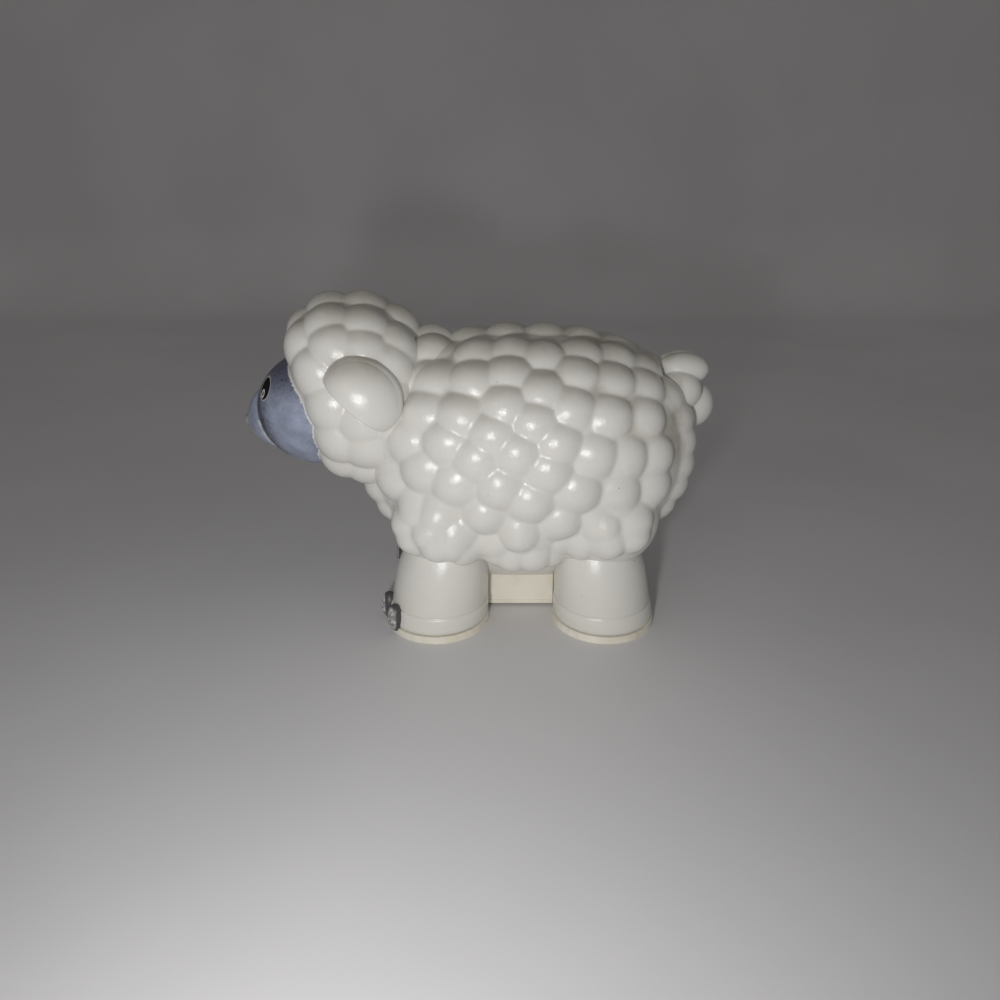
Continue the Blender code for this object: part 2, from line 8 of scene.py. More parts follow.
import bpy
import numpy as np
from bpy.props import FloatProperty, FloatVectorProperty, PointerProperty
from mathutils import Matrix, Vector


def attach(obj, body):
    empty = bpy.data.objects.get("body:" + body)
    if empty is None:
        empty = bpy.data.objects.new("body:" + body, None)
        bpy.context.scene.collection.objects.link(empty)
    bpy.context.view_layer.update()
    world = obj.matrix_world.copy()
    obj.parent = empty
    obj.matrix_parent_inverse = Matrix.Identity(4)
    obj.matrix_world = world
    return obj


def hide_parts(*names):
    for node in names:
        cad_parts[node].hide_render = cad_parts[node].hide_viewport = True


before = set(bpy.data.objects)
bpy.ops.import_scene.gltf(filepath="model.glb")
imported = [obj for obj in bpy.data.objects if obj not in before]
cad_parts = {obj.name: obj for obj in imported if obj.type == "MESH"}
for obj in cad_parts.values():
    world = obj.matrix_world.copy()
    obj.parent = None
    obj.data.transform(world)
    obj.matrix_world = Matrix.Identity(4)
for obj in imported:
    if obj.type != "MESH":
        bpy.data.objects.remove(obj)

bl_info = {
    "name": "Toy sheep figure",
    "version": (1, 0, 0),
    "blender": (4, 5, 0),
    "location": "3D View > Sidebar > Sheep",
    "description": "Builds a moulded toy sheep: fleece, painted face, legs, ears, tail and soles",
    "category": "Add Mesh",
}

BODY = "root"
SHELL = "fleece_shell"
FOOT_PLUGS = ("foot_plug_front_left", "foot_plug_front_right", "foot_plug_rear_left", "foot_plug_rear_right")

# Left-side fleece bumps of the torso, as shares of its half length and half height: (along, up)
TORSO_BUMP_SHARES = (
    (-0.29, 0.91), (-0.09, 0.93), (0.08, 0.90), (0.30, 0.91), (0.51, 0.86), (0.68, 0.76),
    (-0.53, 0.73), (-0.31, 0.75), (-0.11, 0.79), (0.07, 0.67), (0.27, 0.78), (0.48, 0.72), (0.67, 0.65),
    (-0.59, 0.49), (-0.38, 0.49), (-0.13, 0.57), (0.03, 0.45), (0.23, 0.55), (0.45, 0.47), (0.66, 0.43),
    (-0.70, 0.24), (-0.46, 0.27), (-0.20, 0.35), (0.16, 0.28), (0.37, 0.17), (0.55, 0.12), (0.73, 0.09),
    (-0.60, 0.00), (-0.29, 0.14), (-0.06, 0.20), (0.11, 0.05), (-0.79, -0.14), (-0.42, -0.09), (-0.16, -0.10),
    (0.28, -0.14), (0.52, -0.20), (0.73, -0.20), (-0.64, -0.32), (-0.49, -0.33), (-0.25, -0.38),
    (0.01, -0.23), (0.19, -0.44), (0.39, -0.42), (0.59, -0.37), (-0.67, -0.44), (-0.50, -0.47),
    (-0.35, -0.51), (-0.36, -0.58), (-0.22, -0.65), (-0.05, -0.50), (0.25, -0.66), (0.40, -0.54),
    (0.54, -0.49), (-0.09, -0.76), (0.05, -0.75), (0.17, -0.78), (-0.29, -0.68), (-0.60, -0.54),
    (-0.44, -0.57), (-0.19, -0.73),
)

# Left-side fleece bumps of the neck, as shares of its half length and half height: (along, up)
NECK_BUMP_SHARES = (
    (0.13, 0.90), (-0.38, 0.62), (-0.42, 0.28), (-0.47, -0.08), (-0.40, -0.42), (-0.75, 0.40), (-0.80, 0.02),
    (-0.74, -0.36),
)

# Bumps over the torso's back, chest and rump, as shares of a turn from its top, rearwards
TORSO_RIDGE_TURN_SHARES = (
    -0.376, -0.340, -0.305, -0.269, -0.233, -0.198, -0.162, -0.132, -0.105, -0.080, -0.055, -0.019,
    0.017, 0.052, 0.088, 0.124, 0.160, 0.195, 0.231, 0.267, 0.302, 0.338, 0.374,
)

# Left-side fleece bumps of the head cap, from the forehead back and down
HEAD_BUMP_SHARES = (
    (-0.67, 0.63), (-0.21, 0.86), (0.30, 0.84), (0.72, 0.61),
    (-0.51, 0.37), (-0.14, 0.65), (0.26, 0.60), (0.61, 0.43),
    (-0.39, -0.01), (0.06, 0.25), (0.46, 0.12), (0.04, -0.16), (0.45, -0.18),
    (-0.41, -0.41), (0.00, -0.47), (0.42, -0.50), (-0.52, -0.72), (-0.13, -0.82), (0.27, -0.84),
)

# Bumps on the head's mid-plane, as shares of a turn from the crown, rearwards
HEAD_RIDGE_TURN_SHARES = (-0.135, -0.045, 0.037, 0.121, 0.200, -0.440, 0.440)

# Tail lobes, as shares of the tail's reach from its centre: place along, across, up, then half sizes
TAIL_LOBE_SHARES = (
    (-0.10, 0.20, 0.60, 0.68, 0.46, 0.42),
    (-0.25, 0.50, 0.10, 0.62, 0.50, 0.55),
    (0.26, 0.00, -0.38, 0.58, 0.57, 0.62),
)

# The row beside the crown is left out where the flanks' own bumps reach up, as a share of a turn from the top
FLANK_TURN_SHARE = 0.15

# Lowest bumps of the crown row and of the row beside it, as shares of the torso's half height
CROWN_LOWEST_SHARE = -0.80
BESIDE_LOWEST_SHARE = -0.60

# Bumps grow tighter below this height, fully so after the second length
LOW_BUMPS_TOP = 0.0240
LOW_BUMPS_BLEND = 0.0040

# Dust and painted shade in the creases: a plain share, and the height and place along at which it gains, each
# with its spread
CREASE_DUST_AND_SHADE_SHARE = 0.35
CREASE_DUST_AND_SHADE_UP = (0.030, 0.014)
CREASE_DUST_AND_SHADE_ALONG = (0.020, 0.020)
CREASE_DUST_AND_SHADE_LEAST = 0.30

# Rounding where forms meet: for the low flanks as a share of the crease softness, for the others as a length
FLANK_ROUNDING_SHARE = 5.0
FACE_ROUNDING = 0.00012
EAR_ROUNDING = 0.00016
TAIL_ROUNDING = 0.00006

# The mouth: width and depth of its crease, and the directions' Z between which it fades out upwards
MOUTH_CREASE = 0.00030
MOUTH_FADE_TOP = 0.55
MOUTH_FADE_SPREAD = 0.40

# Face: the cheek's dark band of painted shade beside the muzzle, and the light line along the lip
CHEEK_SHADE_START = 1.25
CHEEK_SHADE_WIDTH = 0.0044
LIP_WIDTH = 0.00022
LIP_TOP = -0.10

# Worn patch on the muzzle and painted patch of the nose
WORN_CENTRE = (-0.0372, 0.0, 0.0300)
WORN_HALVES = (0.0042, 0.0052, 0.0034)
WORN_START = 1.8
NOSE_PAINT_HALVES = (0.0017, 0.0023, 0.0015)

# Lean of an eye seen from the side, in degrees, and the place and half sizes of its glint
EYE_LEAN = 22.0
GLINT_OFFSET = (-0.0004, -0.0007)
GLINT_HALVES = (0.00032, 0.00066)
EYE_PAINT = (0.003, 0.003, 0.004, 1.0)
GLINT_PAINT = (0.85, 0.85, 0.85, 1.0)

BELLY_POWER = 2.6

# Underside of a leg, just above its sole
LEG_FOOT_UP = 0.00125
LEG_LEAN_START = 0.0012

# Toes of a front foot: turns outwards from straight ahead in degrees, middle and half sizes
TOE_TURNS = (4.0, 36.0)
TOE_UP = 0.0027
TOE_SET_BACK = 0.0002
TOE_HALVES = (0.0014, 0.0014, 0.0024)

# How much an ear thins away from its straight edge, and how much dust and painted shade its upper faces take
EAR_THINNING_SHARE = 0.14
EAR_DUST_AND_SHADE = 1.4

# The tail's root, darkened with dust and painted shade where it meets the rump: where it starts along the
# sheep and how far it reaches, and the tail's dust and painted shade on its upper faces
TAIL_ROOT_ALONG = 0.0305
TAIL_ROOT_REACH = 0.0022
TAIL_DUST_AND_SHADE = 0.3

# Lamps: name, place, size and power. The key beside the camera makes the bumps' highlights.
LAMPS = (
    ("key", (-0.0120, -0.1238, 0.0480), 0.009, 0.061),
    ("fill", (-0.16, -0.36, 0.28), 0.30, 0.10),
    ("back", (0.22, 0.42, 0.14), 0.30, 0.20),
)
LAMP_TARGET = (0.0, 0.0, 0.028)
WORLD_COLOUR = (1.0, 0.98, 0.95, 1.0)
WORLD_STRENGTH = 0.17

# The photograph's camera: place, lens in millimetres and pitch below the horizon in degrees
CAMERA_PLACE = (0.0034, -0.1179, 0.066)
CAMERA_LENS = 27.04
CAMERA_PITCH = 22.4


class SheepSizes(bpy.types.PropertyGroup):
    """Sizes of the sheep's moulded forms"""

    torso_centre: FloatVectorProperty(
        name="Torso centre", description="Middle of the fleece torso", default=(0.0075, 0.0, 0.0280),
        unit='LENGTH')
    torso_halves: FloatVectorProperty(
        name="Torso half sizes", description="Half length, half width and half height of the torso",
        default=(0.0264, 0.0180, 0.0180), unit='LENGTH')
    torso_power: FloatProperty(
        name="Torso squareness", description="2 is an oval, more is squarer", default=2.3, min=2.0)
    neck_centre: FloatVectorProperty(
        name="Neck centre", description="Middle of the shoulder that carries the head",
        default=(-0.0080, 0.0, 0.0327), unit='LENGTH')
    neck_halves: FloatVectorProperty(
        name="Neck half sizes", description="Half length, half width and half height of the shoulder",
        default=(0.0112, 0.0124, 0.0131), unit='LENGTH')
    head_centre: FloatVectorProperty(
        name="Head centre", description="Middle of the fleece cap", default=(-0.0176, 0.0, 0.0368),
        unit='LENGTH')
    head_halves: FloatVectorProperty(
        name="Head half sizes", description="Half length, half width and half height of the fleece cap",
        default=(0.0111, 0.0128, 0.0139), unit='LENGTH')
    head_lean: FloatProperty(
        name="Head lean", description="Forward shift of the fleece cap for each length upwards", default=0.16)
    head_power: FloatProperty(
        name="Head squareness", description="2 is an oval, more is squarer", default=2.5, min=2.0)
    bump_rise: FloatProperty(
        name="Bump rise", description="How far a torso bump stands out", default=0.0012, unit='LENGTH')
    bump_reach: FloatProperty(
        name="Bump reach", description="Distance at which a torso bump's cap meets the form",
        default=0.0034, unit='LENGTH')
    curl_rise: FloatProperty(
        name="Head bump rise", description="How far a bump of the head cap stands out", default=0.0014,
        unit='LENGTH')
    curl_reach: FloatProperty(
        name="Head bump reach", description="Distance at which a head bump's cap meets the form",
        default=0.0040, unit='LENGTH')
    haunch_along: FloatVectorProperty(
        name="Low flanks along", description="Places of the low fleece bulges, front to rear",
        default=(-0.0048, 0.0070, 0.0198), unit='LENGTH')
    haunch_centre: FloatVectorProperty(
        name="Low flank", description="Distance across and height of the fleece bulges over the legs", size=2,
        default=(0.0095, 0.0184), unit='LENGTH')
    haunch_halves: FloatVectorProperty(
        name="Low flank half sizes", description="Half sizes of a low fleece bulge",
        default=(0.0086, 0.0074, 0.0080), unit='LENGTH')
    low_bump_share: FloatProperty(
        name="Low bump share", description="How much smaller a bump is low on the flank", default=0.10,
        min=0.0, max=0.5)
    valley_depth: FloatProperty(
        name="Valley depth", description="Least depth between bumps", default=0.0001, unit='LENGTH')
    crease_softness: FloatProperty(
        name="Crease softness", description="Rounding of the creases between bumps",
        default=0.00008, unit='LENGTH')
    row_across: FloatProperty(
        name="Side row across", description="Distance of the second row from the mid-plane",
        default=0.0066, unit='LENGTH')
    face_centre: FloatVectorProperty(
        name="Face centre", description="Middle of the smooth face", default=(-0.0250, 0.0, 0.0339),
        unit='LENGTH')
    face_halves: FloatVectorProperty(
        name="Face half sizes", description="Half length, half width and half height of the cheeks",
        default=(0.0102, 0.0108, 0.0091), unit='LENGTH')
    muzzle_centre: FloatVectorProperty(
        name="Muzzle centre", description="Middle of the muzzle", default=(-0.0313, 0.0, 0.0325),
        unit='LENGTH')
    muzzle_halves: FloatVectorProperty(
        name="Muzzle half sizes", description="Half length, half width and half height of the muzzle",
        default=(0.0058, 0.0058, 0.0055), unit='LENGTH')
    nose_centre: FloatVectorProperty(
        name="Nose centre", description="Middle of the nose", default=(-0.0370, 0.0, 0.0318),
        unit='LENGTH')
    nose_halves: FloatVectorProperty(
        name="Nose half sizes", description="Half length, half width and half height of the nose",
        default=(0.0009, 0.0018, 0.0011), unit='LENGTH')
    eye_centre: FloatVectorProperty(
        name="Eye centre", description="Middle of the left eye seen from the side",
        default=(-0.0324, -0.0060, 0.0380), unit='LENGTH')
    eye_halves: FloatVectorProperty(
        name="Eye half sizes", description="Half width and half height of an eye", size=2,
        default=(0.00084, 0.00152), unit='LENGTH')
    saddle_centre: FloatVectorProperty(
        name="Belly centre", description="Middle of the smooth underside", default=(0.0070, 0.0, 0.0170),
        unit='LENGTH')
    saddle_halves: FloatVectorProperty(
        name="Belly half sizes", description="Half sizes of the smooth underside",
        default=(0.0190, 0.0105, 0.0119), unit='LENGTH')
    leg_front: FloatProperty(
        name="Front legs along", description="Place of the front legs", default=-0.0068, unit='LENGTH')
    leg_rear: FloatProperty(
        name="Rear legs along", description="Place of the rear legs", default=0.0204, unit='LENGTH')
    front_lean: FloatProperty(
        name="Front leg lean", description="Rearward shift of a front leg for each length upwards",
        default=0.11)
    rear_lean: FloatProperty(
        name="Rear leg lean", description="Rearward shift of a rear leg for each length upwards",
        default=-0.10)
    leg_across: FloatProperty(
        name="Legs across", description="Distance of a leg from the mid-plane", default=0.0090,
        unit='LENGTH')
    foot_radius: FloatProperty(
        name="Foot radius", description="Radius of a foot at its sole", default=0.0082, unit='LENGTH')
    cuff_up: FloatProperty(
        name="Cuff height", description="Height of the cuff line", default=0.0042, unit='LENGTH')
    ear_centre: FloatVectorProperty(
        name="Ear centre", description="Middle of the left ear", default=(-0.0162, -0.0130, 0.0389),
        unit='LENGTH')
    ear_halves: FloatVectorProperty(
        name="Ear half sizes", description="Half length along the straight edge, thickness, and half height",
        default=(0.0061, 0.0046, 0.0053), unit='LENGTH')
    ear_lean: FloatProperty(
        name="Ear lean", description="Slope of the ear's straight edge", default=math.radians(43.0),
        subtype='ANGLE')
    ear_power: FloatProperty(
        name="Ear squareness", description="2 is an oval dome, more is flatter on top", default=2.1, min=2.0)
    ear_cut: FloatProperty(
        name="Ear cut", description="Distance from the ear's middle to its straight edge", default=0.0019,
        unit='LENGTH')
    tail_centre: FloatVectorProperty(
        name="Tail centre", description="Middle of the tail's lobes", default=(0.0326, 0.0, 0.0365),
        unit='LENGTH')
    tail_reach: FloatProperty(
        name="Tail reach", description="Size that the tail's lobes are shares of", default=0.0060,
        unit='LENGTH')


class SheepColours(bpy.types.PropertyGroup):
    """Colours of the sheep's mouldings, paint and stage"""

    vinyl: FloatVectorProperty(
        name="Vinyl", description="White of the moulded fleece", subtype='COLOR', size=4,
        default=(0.77, 0.755, 0.715, 1.0), min=0.0, max=1.0)
    vinyl_yellow: FloatVectorProperty(
        name="Yellowed vinyl", description="Vinyl where it has yellowed", subtype='COLOR', size=4,
        default=(0.72, 0.70, 0.63, 1.0), min=0.0, max=1.0)
    # Colour of real dust and specks, and also of the painted shade in the creases and on the upper faces
    grime_and_shade: FloatVectorProperty(
        name="Grime", description="Dust held in the creases", subtype='COLOR', size=4,
        default=(0.33, 0.29, 0.22, 1.0), min=0.0, max=1.0)
    face: FloatVectorProperty(
        name="Face paint", description="Lavender grey of the face", subtype='COLOR', size=4,
        default=(0.375, 0.415, 0.535, 1.0), min=0.0, max=1.0)
    # face_dark is the paint where it lies thick, and also the painted shade of the brow, beside the muzzle
    # and in the mouth crease
    face_dark: FloatVectorProperty(
        name="Face paint, dark", description="Face paint where it lies thick", subtype='COLOR', size=4,
        default=(0.105, 0.112, 0.165, 1.0), min=0.0, max=1.0)
    nose: FloatVectorProperty(
        name="Nose paint", description="Pinkish grey of the nose", subtype='COLOR', size=4,
        default=(0.33, 0.32, 0.34, 1.0), min=0.0, max=1.0)
    toe: FloatVectorProperty(
        name="Toe paint", description="Grey of the toes", subtype='COLOR', size=4,
        default=(0.21, 0.20, 0.205, 1.0), min=0.0, max=1.0)
    block: FloatVectorProperty(
        name="Block", description="Yellowed hard plastic between the legs", subtype='COLOR', size=4,
        default=(0.84, 0.80, 0.70, 1.0), min=0.0, max=1.0)
    sole: FloatVectorProperty(
        name="Soles", description="Yellowed hard plastic under the feet", subtype='COLOR', size=4,
        default=(0.80, 0.765, 0.67, 1.0), min=0.0, max=1.0)
    floor: FloatVectorProperty(
        name="Floor", description="Pale floor and backdrop", subtype='COLOR', size=4,
        default=(0.72, 0.71, 0.72, 1.0), min=0.0, max=1.0)


def own_radius(directions, halves, power):
    """Distance from a form's centre to its surface: (sum |d / half|^power)^(-1 / power)."""
    return (np.abs(directions / halves) ** power).sum(axis=1) ** (-1.0 / power)


def far_radius(directions, start, centre, halves):
    """Distance from start to the far wall of an oval, and zero where the line misses it."""
    slope = directions / halves
    offset = (start - centre) / halves
    square = (slope ** 2).sum(axis=1)
    cross = slope @ offset
    inside = cross ** 2 - square * ((offset ** 2).sum() - 1.0)
    reach = (-cross + np.sqrt(np.maximum(inside, 0.0))) / square
    return np.where(inside > 0.0, np.maximum(reach, 0.0), 0.0)


def soft_max(values, softness):
    """Greatest of several arrays with rounded creases: softness * log(sum(exp(value / softness)))."""
    top = np.maximum.reduce(values)
    return top + softness * np.log(sum(np.exp((value - top) / softness) for value in values))


def ball_directions(rings, sides):
    """Directions from pole to pole, (sin t cos a, sin t sin a, cos t), with one corner at each pole."""
    tilt = np.linspace(0.0, math.pi, rings + 1)[1:-1]
    turn = np.linspace(0.0, math.tau, sides, endpoint=False)
    down, around = np.meshgrid(tilt, turn, indexing="ij")
    rows = np.stack((np.sin(down) * np.cos(around), np.sin(down) * np.sin(around), np.cos(down)), axis=-1)
    return np.vstack(((0.0, 0.0, 1.0), rows.reshape(-1, 3), (0.0, 0.0, -1.0)))


def ball_faces(rings, sides):
    """Quads between rings and a fan of triangles at each pole, all facing out."""
    here = np.arange(sides)
    ahead = (here + 1) % sides
    row = 1 + np.arange(rings - 2)[:, None] * sides
    quads = np.stack((row + here, row + sides + here, row + sides + ahead, row + ahead), axis=-1)
    last = 1 + (rings - 2) * sides
    foot = last + sides
    top = np.stack((np.zeros_like(here), 1 + here, 1 + ahead), axis=-1)
    bottom = np.stack((np.full_like(here, foot), last + ahead, last + here), axis=-1)
    return quads.reshape(-1, 4).tolist() + top.tolist() + bottom.tolist()


def piece(name, corners, faces, look, nodes, fields=None):
    """Make one smooth-shaded piece from arrays, with its finish, body, slot and the nodes it stands for."""
    mesh = bpy.data.meshes.new(name)
    mesh.from_pydata(corners, [], faces)
    mesh.shade_smooth()
    for field, values in (fields or {}).items():
        mesh.attributes.new(field, 'FLOAT', 'POINT').data.foreach_set("value", values.astype(np.float32))
    mesh.validate()
    item = bpy.data.objects.new(name, mesh)
    bpy.context.scene.collection.objects.link(item)
    mesh.materials.append(look)
    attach(item, BODY)
    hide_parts(*nodes)
    return item


def mirrored(corners, faces):
    """The same surface on the other side of the mid-plane, with its faces turned to point out again."""
    return corners * (1.0, -1.0, 1.0), [face[::-1] for face in faces]


def neck_radius(sizes, directions):
    """Radius of the smooth neck: a plain oval."""
    return own_radius(directions, np.array(sizes.neck_halves), 2.0)


def neck_reach(sizes, directions):
    """Distance from the torso's centre to the far wall of the neck."""
    start, centre = np.array(sizes.torso_centre), np.array(sizes.neck_centre)
    return far_radius(directions, start, centre, np.array(sizes.neck_halves))


def torso_radius(sizes, directions):
    """Radius of the smooth torso with the low bulges of its flanks."""
    centre = np.array(sizes.torso_centre)
    walls = [own_radius(directions, np.array(sizes.torso_halves), sizes.torso_power)]
    for along in sizes.haunch_along:
        for side in (-1.0, 1.0):
            haunch = np.array((along, side * sizes.haunch_centre[0], sizes.haunch_centre[1]))
            walls.append(far_radius(directions, centre, haunch, np.array(sizes.haunch_halves)))
    return soft_max(walls, sizes.crease_softness * FLANK_ROUNDING_SHARE)


def side_centres(shares, centre, halves, power):
    """Bump centres on both sides of a form, from their places seen from the side."""
    along, up = np.array(shares).T
    left = np.maximum(1.0 - np.abs(along) ** power - np.abs(up) ** power, 0.0)
    across = left ** (1.0 / power)
    near = centre + halves * np.stack((along, -across, up), axis=-1)
    return np.vstack((near, near * (1.0, -1.0, 1.0)))


def ridge_centres(turns, offset, centre, halves, power):
    """Bump centres along the outline seen from the side, offset across the mid-plane."""
    turns = math.tau * np.array(turns)
    across = offset / halves[1]
    along, up = np.sin(turns), np.cos(turns)
    scale = ((1.0 - across ** power) / (np.abs(along) ** power + np.abs(up) ** power)) ** (1.0 / power)
    near = centre + halves * np.stack((along * scale, np.full_like(along, -across), up * scale), axis=-1)
    return near if offset == 0.0 else np.vstack((near, near * (1.0, -1.0, 1.0)))


def on_surface(centre, places, radius):
    """The places moved out along their lines from the centre, to the surface that radius gives."""
    directions = places - centre
    directions /= np.linalg.norm(directions, axis=1)[:, None]
    return centre + directions * radius(directions)[:, None]


def torso_bumps(sizes):
    """All bump centres of the torso and neck, with none along the smooth belly."""
    centre, halves = np.array(sizes.torso_centre), np.array(sizes.torso_halves)
    power = sizes.torso_power
    crown = ridge_centres(TORSO_RIDGE_TURN_SHARES, 0.0, centre, halves, power)
    ends = [turn for turn in TORSO_RIDGE_TURN_SHARES if abs(turn) > FLANK_TURN_SHARE]
    beside = ridge_centres(ends, sizes.row_across, centre, halves, power)
    flanks = side_centres(TORSO_BUMP_SHARES, centre, halves, power)
    rows = np.vstack((crown[crown[:, 2] > centre[2] + CROWN_LOWEST_SHARE * halves[2]],
                      beside[beside[:, 2] > centre[2] + BESIDE_LOWEST_SHARE * halves[2]]))
    neck = side_centres(NECK_BUMP_SHARES, np.array(sizes.neck_centre), np.array(sizes.neck_halves), 2.0)

    def outer_wall(directions):
        """Distance to the farther of torso and neck."""
        return np.maximum(torso_radius(sizes, directions), neck_reach(sizes, directions))

    return np.vstack((on_surface(centre, flanks, lambda directions: torso_radius(sizes, directions)),
                      on_surface(centre, rows, outer_wall), neck))


def head_bumps(sizes):
    """All bump centres of the leaning head cap."""
    centre, halves = np.array(sizes.head_centre), np.array(sizes.head_halves)
    places = np.vstack((side_centres(HEAD_BUMP_SHARES, centre, halves, sizes.head_power),
                        ridge_centres(HEAD_RIDGE_TURN_SHARES, 0.0, centre, halves, sizes.head_power)))
    places[:, 0] -= sizes.head_lean * (places[:, 2] - centre[2])
    return places


def bump_height(sizes, points, centres, cap_rise, cap_reach):
    """Soft upper envelope of the bumps' round caps, rise * (1 - (distance / reach)^2), tighter low down."""
    softness = sizes.crease_softness
    total = np.full(len(points), math.exp(-sizes.valley_depth / softness))
    for centre in centres:
        square = ((points - centre) ** 2).sum(axis=1)
        tight = 1.0 - sizes.low_bump_share * min(max((LOW_BUMPS_TOP - centre[2]) / LOW_BUMPS_BLEND, 0.0), 1.0)
        total += np.exp(cap_rise * (1.0 - square / (tight * cap_reach) ** 2) / softness)
    return softness * np.log(total)


def fleece(sizes, centre, radius, centres, cap, directions):
    """Corners of a fleece form and the dust and painted shade each holds: its depth between bumps, more on
    the back and rump.

    radius gives the smooth form's own radius, and cap is the rise and reach of a bump.
    """
    smooth = radius(sizes, directions)[:, None]
    rise = bump_height(sizes, centre + directions * smooth, centres, *cap)
    depth = np.clip(1.0 - rise / cap[0], 0.0, 1.0)
    corners = centre + directions * (smooth + rise[:, None])
    (low, rise_spread), (front, rear_spread) = CREASE_DUST_AND_SHADE_UP, CREASE_DUST_AND_SHADE_ALONG
    dust_and_shade_share = CREASE_DUST_AND_SHADE_SHARE + (corners[:, 2] - low) / rise_spread + (corners[:, 0] - front) / rear_spread
    return corners, depth * np.clip(dust_and_shade_share, CREASE_DUST_AND_SHADE_LEAST, 1.0)


def head_radius(sizes, directions):
    """Radius of the smooth head cap: an oval whose cross-sections shift forward with height."""
    upright = directions + directions[:, 2:] * (sizes.head_lean, 0.0, 0.0)
    return own_radius(upright, np.array(sizes.head_halves), sizes.head_power)


def link(tree, source, target):
    """Join a value to an input, whether the value is a socket or a plain number or colour."""
    if isinstance(source, bpy.types.NodeSocket):
        tree.links.new(source, target)
    else:
        target.default_value = source


def noise(tree, scale, detail=3.0, roughness=0.5):
    """Cloudy variation over the object's own coordinates, scale in cycles a metre."""
    place = tree.nodes.new("ShaderNodeTexCoord").outputs["Object"]
    node = tree.nodes.new("ShaderNodeTexNoise")
    link(tree, place, node.inputs["Vector"])
    node.inputs["Scale"].default_value = scale
    node.inputs["Detail"].default_value = detail
    node.inputs["Roughness"].default_value = roughness
    return node.outputs["Fac"]


def field(tree, name):
    """A value stored on the piece's corners."""
    node = tree.nodes.new("ShaderNodeAttribute")
    node.attribute_name = name
    return node.outputs["Fac"]


def upward(tree):
    """How far the surface faces up: the object's own normal's Z."""
    node = tree.nodes.new("ShaderNodeSeparateXYZ")
    link(tree, tree.nodes.new("ShaderNodeTexCoord").outputs["Normal"], node.inputs[0])
    return node.outputs["Z"]


def height_above_floor(tree):
    """The object's own Z coordinate."""
    node = tree.nodes.new("ShaderNodeSeparateXYZ")
    link(tree, tree.nodes.new("ShaderNodeTexCoord").outputs["Object"], node.inputs[0])
    return node.outputs["Z"]


def step(tree, value, low, high, start=0.0, end=1.0):
    """A smooth step: start below low and end above high."""
    node = tree.nodes.new("ShaderNodeMapRange")
    node.interpolation_type = 'SMOOTHSTEP'
    link(tree, value, node.inputs["Value"])
    node.inputs["From Min"].default_value = low
    node.inputs["From Max"].default_value = high
    node.inputs["To Min"].default_value = start
    node.inputs["To Max"].default_value = end
    return node.outputs["Result"]


def combine(tree, operation, first, second):
    """Arithmetic on two values."""
    node = tree.nodes.new("ShaderNodeMath")
    node.operation = operation
    link(tree, first, node.inputs[0])
    link(tree, second, node.inputs[1])
    return node.outputs[0]


def product(tree, first, *others):
    """Several values multiplied in turn."""
    for other in others:
        first = combine(tree, 'MULTIPLY', first, other)
    return first


def shaded(colour, share):
    """A darker colour: the share of each of its three values."""
    return tuple(share * value for value in colour[:3]) + (1.0,)


def blend(tree, share, first, second):
    """A colour between two others."""
    node = tree.nodes.new("ShaderNodeMix")
    node.data_type = 'RGBA'
    link(tree, share, node.inputs[0])
    link(tree, first, node.inputs[6])
    link(tree, second, node.inputs[7])
    return node.outputs[2]


def new_look(name, roughness, soft=0.0):
    """A material with its shader node; soft adds the faint glow of thick vinyl."""
    look = bpy.data.materials.new(name)
    look.use_nodes = True
    shader = look.node_tree.nodes["Principled BSDF"]
    shader.inputs["Roughness"].default_value = roughness
    shader.inputs["Subsurface Weight"].default_value = soft
    shader.inputs["Subsurface Radius"].default_value = (1.0, 0.9, 0.7)
    shader.inputs["Subsurface Scale"].default_value = 0.0012
    return look, look.node_tree, shader


def grain(tree, shader, height, strength, distance):
    """Surface relief from a height value."""
    node = tree.nodes.new("ShaderNodeBump")
    node.inputs["Strength"].default_value = strength
    node.inputs["Distance"].default_value = distance
    link(tree, height, node.inputs["Height"])
    link(tree, node.outputs["Normal"], shader.inputs["Normal"])


def vinyl_look(name, colours):
    """Glossy warm-white vinyl, yellowed near the feet, with dust and painted shade in the creases and on the
    upper faces, and with specks.
    """
    look, tree, shader = new_look(name, 0.27, 0.12)
    cloud = step(tree, noise(tree, 90.0, 4.0), 0.42, 0.72, 0.0, 0.35)
    low = step(tree, height_above_floor(tree), 0.002, 0.020, 0.55, 0.0)
    yellow = combine(tree, 'MAXIMUM', cloud, low)
    base = blend(tree, yellow, tuple(colours.vinyl), tuple(colours.vinyl_yellow))
    # Dust and painted shade in the creases between the bumps
    crease = product(tree, step(tree, field(tree, "crease"), 0.35, 0.95, 0.0, 0.55),
                     step(tree, noise(tree, 160.0, 4.0), 0.35, 0.65))
    base = blend(tree, crease, base, tuple(colours.grime_and_shade))
    # Dust and painted shade on the upper faces, growing with height
    patchy = step(tree, noise(tree, 300.0, 4.0), 0.25, 0.60, 0.6, 1.0)
    high = step(tree, height_above_floor(tree), 0.030, 0.046, 0.18, 0.54)
    dust_and_shade_film = product(tree, step(tree, upward(tree), 0.30, 1.00), patchy, field(tree, "dust_and_shade"), high)
    base = blend(tree, dust_and_shade_film, base, tuple(colours.grime_and_shade))
    speck = step(tree, noise(tree, 1500.0, 1.0), 0.805, 0.825, 0.0, 0.75)
    base = blend(tree, speck, base, shaded(colours.grime_and_shade, 0.3))
    link(tree, base, shader.inputs["Base Color"])
    link(tree, step(tree, noise(tree, 350.0, 4.0), 0.30, 0.70, 0.13, 0.23), shader.inputs["Roughness"])
    grain(tree, shader, noise(tree, 1800.0, 4.0, 0.80), 0.50, 0.00010)
    return look


